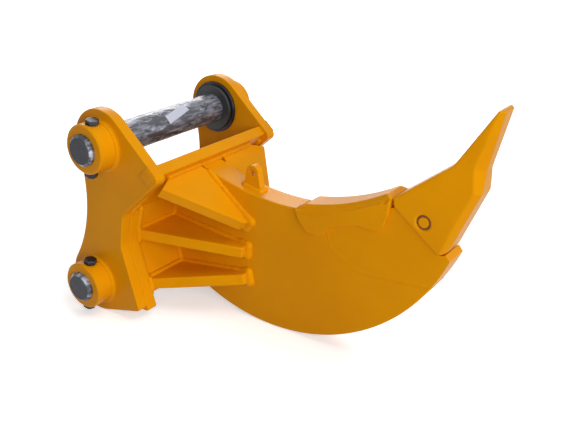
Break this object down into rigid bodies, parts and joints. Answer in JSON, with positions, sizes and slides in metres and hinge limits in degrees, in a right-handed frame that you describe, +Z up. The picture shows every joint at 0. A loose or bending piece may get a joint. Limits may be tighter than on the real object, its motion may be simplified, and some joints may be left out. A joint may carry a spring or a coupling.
{
  "type": "excavator ripper",
  "caption": "Curved ripper shank with a pinned chisel tooth, braced by flat gussets between hitch ears whose cross pins take an excavator arm and its bucket link.",
  "frame": {"origin": "on the upper hitch pin's axis, midway between the ears", "axes": "+X from the hitch towards the tooth, +Y across the ears, +Z up with the ripper resting on its lower ear rounds and the belly of the shank"},
  "size_m": [1.086, 0.604, 0.669],
  "materials": {
    "yellow_paint": "gloss golden yellow enamel over welded plate",
    "pin_steel": "hardened turned steel, dark and oiled",
    "black_steel": "blackened steel",
    "rubber": "matt black rubber"
  },
  "bodies": {
    "ripper": {"boss_lower_left": "yellow_paint", "boss_lower_right": "yellow_paint", "boss_upper_left": "yellow_paint", "boss_upper_right": "yellow_paint", "cheek_left": "yellow_paint", "cheek_right": "yellow_paint", "ear_plate_left": "yellow_paint", "ear_plate_right": "yellow_paint", "gusset_lower_left": "yellow_paint", "gusset_lower_right": "yellow_paint", "gusset_middle_left": "yellow_paint", "gusset_middle_right": "yellow_paint", "gusset_upper_left": "yellow_paint", "gusset_upper_right": "yellow_paint", "headboard_lower": "yellow_paint", "headboard_upper": "yellow_paint", "hitch_pin_lower": "pin_steel", "hitch_pin_upper": "pin_steel", "lifting_lug": "yellow_paint", "lock_nut_lower": "black_steel", "lock_nut_upper": "black_steel", "nose_piece": "yellow_paint", "protector": "yellow_paint", "seal_lower_left": "rubber", "seal_lower_right": "rubber", "seal_upper_left": "rubber", "seal_upper_right": "rubber", "shank": "yellow_paint", "tooth": "yellow_paint", "tooth_pin_retainer": "rubber", "washer_lower_left": "black_steel", "washer_lower_right": "black_steel", "washer_upper_left": "black_steel", "washer_upper_right": "black_steel"},
    "upper_lock_bolt": {"lock_bolt_upper": "black_steel"},
    "lower_lock_bolt": {"lock_bolt_lower": "black_steel"},
    "tooth_pin": {"tooth_pin": "yellow_paint"}
  },
  "joints": [
    {"name": "upper_lock_bolt_slide", "type": "slide", "parent": "ripper", "child": "upper_lock_bolt", "axis": [0.157, 0, 0.9876], "range_m": [0, 0.145]},
    {"name": "lower_lock_bolt_slide", "type": "slide", "parent": "ripper", "child": "lower_lock_bolt", "axis": [0.157, 0, 0.9876], "range_m": [0, 0.145]},
    {"name": "tooth_pin_slide", "type": "slide", "parent": "ripper", "child": "tooth_pin", "axis": [0, -1, 0], "range_m": [0, 0.085]}
  ]
}
